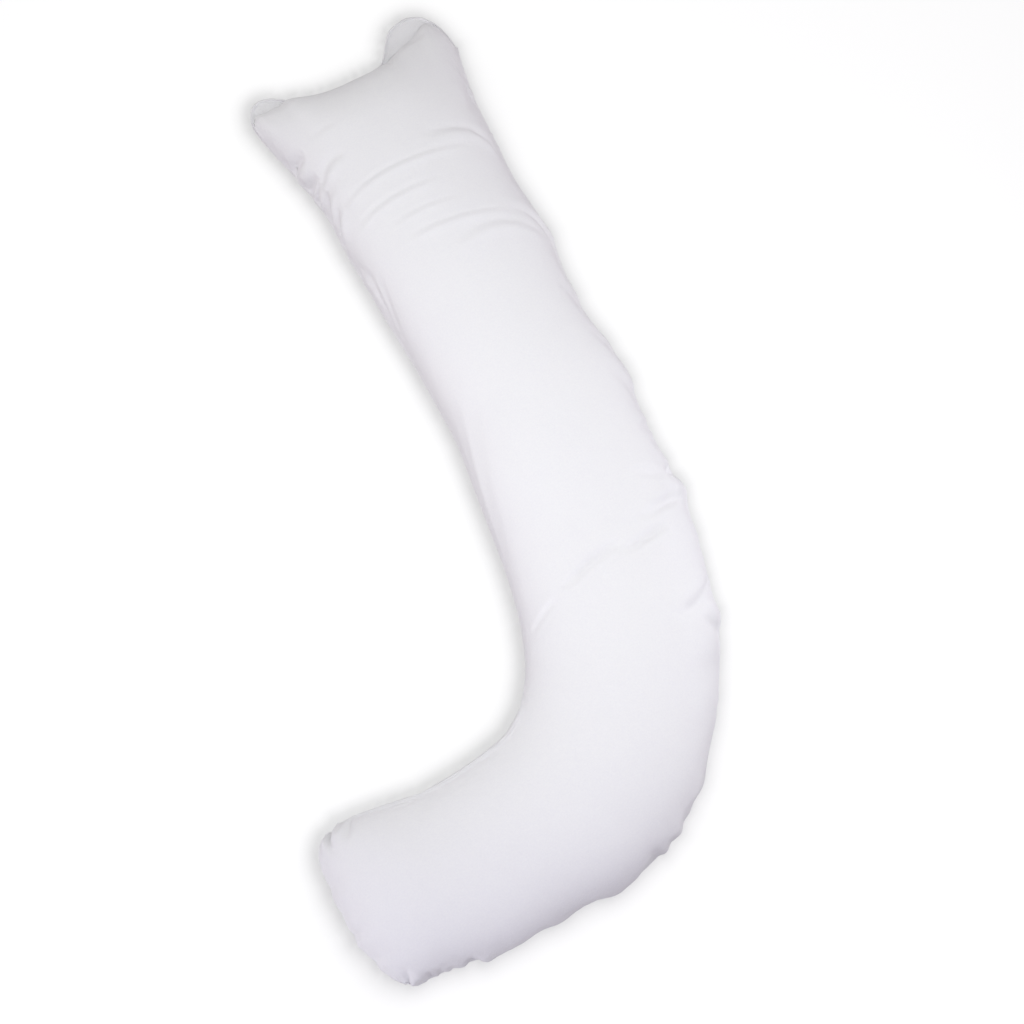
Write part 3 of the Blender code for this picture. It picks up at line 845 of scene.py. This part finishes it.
# The scales of the mottling and of the nap, and the share of the darker colour that each thing
# brings.
# The ditch's share is painted shade along the seam.
MOTTLE_SCALE, SPECKS_PER_METRE = 9.0, 420
MOTTLE_SHARE, SLUB_SHARE, PAINTED_DITCH_SHADE_SHARE, SPECK_SHARE = 0.5, 0.12, 0.7, 1.3
PAINTED_DITCH_SHADE_WIDTH = 0.0016
place = book.node("ShaderNodeTexCoord").outputs["Object"]
mottle = book.value("ShaderNodeTexNoise", None,
                    {"Vector": place, "Scale": MOTTLE_SCALE, "Detail": 3.0})
nap = book.value("ShaderNodeTexNoise", None,
                 {"Vector": place, "Scale": SPECKS_PER_METRE, "Detail": 1.0})
seam_distance = book.value("ShaderNodeAttribute", {"attribute_name": "to_seam"}, output="Fac")
# Painted shade: the cloth is darker within a narrow band along the seam, in its ditch.
painted_ditch_shade = book.value("ShaderNodeMath", {"operation": "MAXIMUM"},
                      {0: 1 - seam_distance / PAINTED_DITCH_SHADE_WIDTH, 1: 0.0})
shade = (
    mottle * MOTTLE_SHARE + thread_noise * SLUB_SHARE + painted_ditch_shade * PAINTED_DITCH_SHADE_SHARE
    + (nap - 0.5) * SPECK_SHARE
)
tone = book.node("ShaderNodeMix", {"data_type": "RGBA", "clamp_factor": True},
                 {"Factor": shade, "A": (*COTTON, 1.0), "B": (*COTTON_SHADE, 1.0)})
book.plug(shader.inputs["Base Color"], tone.outputs["Result"])
print("cotton's colours:", COTTON, "to", COTTON_SHADE)

# %% The cotton's surface
ROUGHNESS, SLUB_ROUGHNESS = 0.72, 0.06
CRUMPLE_SCALE, CRUMPLE_HEIGHT = 38.0, 0.0011
WEAVE_SHARE, WEAVE_HEIGHT = 0.5, 0.00008
COTTON_FINISH = {"Sheen Weight": 0.04, "Sheen Roughness": 0.45, "Specular IOR Level": 0.20}
book.plug(shader.inputs["Roughness"], ROUGHNESS + thread_noise * SLUB_ROUGHNESS)
crumple = book.value("ShaderNodeTexNoise", None,
                     {"Vector": place, "Scale": CRUMPLE_SCALE, "Detail": 4.0, "Roughness": 0.55})
height = crumple * CRUMPLE_HEIGHT + (weave * WEAVE_SHARE + thread_noise) * WEAVE_HEIGHT
bump = book.node("ShaderNodeBump", None, {"Height": height, "Strength": 1.0, "Distance": 1.0})
book.plug(shader.inputs["Normal"], bump.outputs["Normal"])
for socket, value in COTTON_FINISH.items():
    book.plug(shader.inputs[socket], value)
pillow_cover.data.materials.append(cotton)
print(len(cotton.node_tree.nodes), "nodes in the cotton")

# %% [markdown]
# ## Sewing thread
#
# The thread is white too, twisted and a little shinier than the cloth. One fine noise stands for
# its twist in the colour, the roughness and the bump, because a stitch is too small to show more.

# %% The thread
THREAD, THREAD_SHADE = (0.86, 0.86, 0.87), (0.70, 0.69, 0.73)
TWIST_SCALE, TWIST_STRENGTH, TWIST_HEIGHT = 1800.0, 0.6, 0.0002
THREAD_ROUGHNESS, TWIST_ROUGHNESS = 0.55, 0.2
thread, book, shader = new_material("cotton_thread")
place = book.node("ShaderNodeTexCoord").outputs["Object"]
twist = book.value("ShaderNodeTexNoise", None,
                   {"Vector": place, "Scale": TWIST_SCALE, "Detail": 2.0})
tone = book.node("ShaderNodeMix", {"data_type": "RGBA"},
                 {"Factor": twist, "A": (*THREAD, 1.0), "B": (*THREAD_SHADE, 1.0)})
book.plug(shader.inputs["Base Color"], tone.outputs["Result"])
book.plug(shader.inputs["Roughness"], THREAD_ROUGHNESS + twist * TWIST_ROUGHNESS)
bump = book.node("ShaderNodeBump", None,
                 {"Height": twist, "Strength": TWIST_STRENGTH, "Distance": TWIST_HEIGHT})
book.plug(shader.inputs["Normal"], bump.outputs["Normal"])
print(len(thread.node_tree.nodes), "nodes in the thread")

# %% The stitching tree
STITCH_SIZES = {
    "Spacing": 0.0034, "Stitch Length": 0.0025, "Thread Radius": 0.00042, "Unevenness": 0.18,
}
STITCH_SEED = 11
# A stitch is so small that a bead with few faces looks round.
BEAD_SEGMENTS, BEAD_RINGS = 6, 4


def stitching_tree():
    """Beads of thread along a seam line, each turned along the line and out of the pillow."""
    tree = bpy.data.node_groups.new("stitching", "GeometryNodeTree")
    tree.interface.new_socket("Geometry", in_out="INPUT", socket_type="NodeSocketGeometry")
    for name in STITCH_SIZES:
        tree.interface.new_socket(name, in_out="INPUT", socket_type="NodeSocketFloat")
    tree.interface.new_socket("Seed", in_out="INPUT", socket_type="NodeSocketInt")
    tree.interface.new_socket("Geometry", in_out="OUTPUT", socket_type="NodeSocketGeometry")
    book = Book(tree)
    given = book.node("NodeGroupInput").outputs
    line = book.node("GeometryNodeMeshToCurve", None, {"Mesh": given["Geometry"]})
    spaced = book.node("GeometryNodeResampleCurve", {"mode": "LENGTH"},
                       {"Curve": line.outputs["Curve"], "Length": given["Spacing"]})
    bead = book.node("GeometryNodeMeshUVSphere", None,
                     {"Segments": BEAD_SEGMENTS, "Rings": BEAD_RINGS, "Radius": 1.0})
    outward_way = book.node("GeometryNodeInputNamedAttribute", {"data_type": "FLOAT_VECTOR"},
                            {"Name": "outward"})
    tangent = book.node("GeometryNodeInputTangent")
    turn = book.node("FunctionNodeAxesToRotation", {"primary_axis": "Z", "secondary_axis": "X"},
                     {"Primary Axis": tangent.outputs[0], "Secondary Axis": outward_way.outputs[0]})
    chance = book.node("FunctionNodeRandomValue", {"data_type": "FLOAT"}, {"Seed": given["Seed"]})
    uneven = 1 + (Value(book, chance.outputs[1]) - 0.5) * given["Unevenness"]
    size = book.node("ShaderNodeCombineXYZ", None, {
        "X": given["Thread Radius"], "Y": given["Thread Radius"],
        "Z": uneven * given["Stitch Length"] / 2,
    })
    beads = book.node("GeometryNodeInstanceOnPoints", None, {
        "Points": spaced.outputs["Curve"], "Instance": bead.outputs["Mesh"],
        "Rotation": turn.outputs[0], "Scale": size.outputs[0],
    })
    real = book.node("GeometryNodeRealizeInstances", None, {"Geometry": beads.outputs[0]})
    dressed = book.node("GeometryNodeSetMaterial", None,
                        {"Geometry": real.outputs[0], "Material": thread})
    book.node("NodeGroupOutput", None, {"Geometry": dressed.outputs[0]})
    return tree


# %% Sew the stitches
def plain_mesh(name, source, tree, values):
    """Runs the tree on the source and keeps the result as a plain mesh in an object of its own."""
    modifier = source.modifiers.new(name, "NODES")
    modifier.node_group = tree
    for item in tree.interface.items_tree:
        if item.in_out == "INPUT" and item.name in values:
            modifier[item.identifier] = values[item.name]
    ready = source.evaluated_get(bpy.context.evaluated_depsgraph_get())
    mesh = bpy.data.meshes.new_from_object(ready)
    source.modifiers.remove(modifier)
    bpy.data.objects.remove(source)
    mesh.name = name
    made = bpy.data.objects.new(name, mesh)
    bpy.context.scene.collection.objects.link(made)
    return made


seam_stitches = plain_mesh(
    "seam_stitches", seam_path, stitching_tree(), {**STITCH_SIZES, "Seed": STITCH_SEED}
)
print("stitches:", len(seam_stitches.data.polygons), "faces")

# %% [markdown]
# ## Saying what each piece is
#
# A pillow has one body.

# %% Pieces of the part
for piece in (pillow_cover, seam_stitches):
    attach(piece, "root")
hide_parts("pillow")
print("pieces:", pillow_cover.name, "and", seam_stitches.name)

# %% [markdown]
# ## The studio
#
# The photograph is a cut-out on pure white, lit softly from above: brightest along the middle, grey
# towards the head end and violet on the lower side. The floor glows, so that it reads as white, and
# casts no light of its own. Its halo is a painted shadow, taken out of the glow: it follows the
# pillow's outline as the camera sees it, like the photograph's, so each place on the floor's grid
# knows how far it is from that outline.


# %% The floor's grid
FLOOR_REACH = 12.0
FLOOR_NEAR = (0.52, 0.86)
FLOOR_CELL = 0.008
# The floor lies a hair under the pillow, so that the two never share a plane.
FLOOR_DROP = 0.0005
# The painted shadow lies a little to the left of the pillow and above it, as the photograph shows
# it.
PAINTED_SHADOW_SHIFT = Vector((-0.0030, 0.0060, 0.0))


def floor_places(reach):
    """Grid lines: close together near the pillow, with one far line on each side."""
    count = round(reach / FLOOR_CELL)
    return [-FLOOR_REACH, *(k * FLOOR_CELL for k in range(-count, count + 1)), FLOOR_REACH]


def thrown_on_floor(point):
    """Where the line from the camera through the point meets the floor."""
    away = point - camera.location
    return camera.location + away * (camera.location.z / -away.z)


def distance_from_outline(places):
    """How far each floor place lies from the pillow's outline as the camera sees it."""
    points = np.concatenate([coarser(finished[side]).reshape(-1, 3) for side in (FRONT, BACK)])
    outline = KDTree(len(points))
    for number, point in enumerate(points):
        outline.insert(thrown_on_floor(Vector(point)) + PAINTED_SHADOW_SHIFT, number)
    outline.balance()
    return [outline.find(place)[2] for place in places]


lines_x, lines_y = (floor_places(reach) for reach in FLOOR_NEAR)
floor_points = [Vector((x, y, 0.0)) for x in lines_x for y in lines_y]
per_line = len(lines_y)
floor_faces = [
    (k * per_line + m, (k + 1) * per_line + m, (k + 1) * per_line + m + 1, k * per_line + m + 1)
    for k in range(len(lines_x) - 1) for m in range(per_line - 1)
]
floor_mesh = bpy.data.meshes.new("floor")
floor_mesh.from_pydata([(x, y, z - FLOOR_DROP) for x, y, z in floor_points], [], floor_faces)
painted_shadow_layer = floor_mesh.attributes.new("to_outline", "FLOAT", "POINT")
painted_shadow_layer.data.foreach_set("value", distance_from_outline(floor_points))
print("floor:", len(floor_faces), "faces")

# %% Floor
FLOOR_GREY = 0.30
FLOOR_GLOW = 0.785
# The painted shadow round the pillow: how much of the glow it takes away, how wide it is and how it
# fades.
PAINTED_SHADOW_DEPTH, PAINTED_SHADOW_WIDTH, PAINTED_SHADOW_POWER = 0.38, 0.0144, 1.3


def floor_material():
    material, book, shader = new_material("white_floor")
    away = book.value("ShaderNodeAttribute", {"attribute_name": "to_outline"}, output="Fac")
    fall = (away / PAINTED_SHADOW_WIDTH) ** PAINTED_SHADOW_POWER
    # Painted shadow: the glow is darker near the pillow's outline and fades with the distance from
    # it.
    painted_shadow = PAINTED_SHADOW_DEPTH * book.value("ShaderNodeMath", {"operation": "EXPONENT"}, {0: 0 - fall})
    glow_with_painted_shadow = book.node("ShaderNodeMix", {"data_type": "RGBA"}, {
        "Factor": painted_shadow, "A": (*[FLOOR_GLOW] * 3, 1.0), "B": (0.0, 0.0, 0.0, 1.0),
    })
    book.plug(shader.inputs["Base Color"], (*[FLOOR_GREY] * 3, 1.0))
    book.plug(shader.inputs["Roughness"], 1.0)
    book.plug(shader.inputs["Specular IOR Level"], 0.0)
    book.plug(shader.inputs["Emission Color"], glow_with_painted_shadow.outputs["Result"])
    book.plug(shader.inputs["Emission Strength"], 1.0)
    return material


floor_mesh.materials.append(floor_material())
floor = bpy.data.objects.new("floor", floor_mesh)
floor.visible_diffuse = floor.visible_glossy = False
bpy.context.scene.collection.objects.link(floor)
print("the floor glows with", FLOOR_GLOW)


# %% Lamps
def add_lamp(name, place, aimed_at, width, power, colour):
    data = bpy.data.lights.new(name, "AREA")
    data.shape = "DISK"
    data.size, data.energy, data.color = width, power, colour
    thing = bpy.data.objects.new(name, data)
    thing.location = place
    aim(thing, Vector(aimed_at))
    thing.visible_camera = False
    bpy.context.scene.collection.objects.link(thing)


LAMP_COLUMNS = ("name", "x", "y", "z", "width", "power", "red", "blue")
LAMPS = (
    ("low overhead", 0.24, -0.40, 1.10, 0.8, 4.25, 0.965, 0.985),
    ("over the shoulder", 0.10, 0.30, 1.10, 0.8, 2.95, 0.97, 1.03),
    ("outer side", 0.85, -0.45, 0.12, 0.5, 1.20, 0.95, 1.07),
    ("inner side", -0.60, 0.10, 0.15, 0.5, 0.36, 0.97, 0.90),
    ("foot's outer side", -0.15, -1.35, 0.50, 0.6, 1.42, 1.01, 1.24),
    ("toe", -1.00, -0.75, 0.40, 0.6, 1.90, 0.96, 1.11),
    ("crown", -0.10, 1.10, 0.75, 0.6, 1.52, 0.93, 0.88),
)
LIT_SPOT = (0.20, -0.20, 0.10)
for row in LAMPS:
    values = dict(zip(LAMP_COLUMNS, row))
    add_lamp(values["name"], (values["x"], values["y"], values["z"]), LIT_SPOT,
             values["width"], values["power"], (values["red"], 1.0, values["blue"]))
print(len(LAMPS), "lamps")

# %% Sky
world = bpy.data.worlds.new("studio")
world.use_nodes = True
bpy.context.scene.world = world
book = Book(world.node_tree)
way = book.node("ShaderNodeTexCoord").outputs["Generated"]
parts = book.node("ShaderNodeSeparateXYZ", None, {"Vector": way})
across, up = (Value(book, parts.outputs[axis]) for axis in "XZ")
# The sky is bright at both sides, like the walls of a light tent, and dim below.
SKY_SIDES, SKY_BELOW = 1.76, 0.41
SKY_BRIGHTEST = 2.0
SKY_COLOUR = (1.055, 1.0, 1.05)
below = book.value("ShaderNodeMath", {"operation": "LESS_THAN"}, {0: up, 1: 0.0})
brightness = SKY_SIDES * (across * across) * (1 - below) + SKY_BELOW * below
# The mix takes a share from black to the sky's brightest, so that the colour holds it all.
sky = book.node("ShaderNodeMix", {"data_type": "RGBA"}, {
    "Factor": brightness / SKY_BRIGHTEST, "A": (0.0, 0.0, 0.0, 1.0), "B": (*SKY_COLOUR, 1.0),
})
backdrop = world.node_tree.nodes["Background"]
book.plug(backdrop.inputs["Color"], sky.outputs["Result"])
book.plug(backdrop.inputs["Strength"], SKY_BRIGHTEST)
bpy.context.scene.view_settings.view_transform = "Standard"
bpy.context.scene.view_settings.look = "None"
print("sky ready, at its brightest", SKY_SIDES)
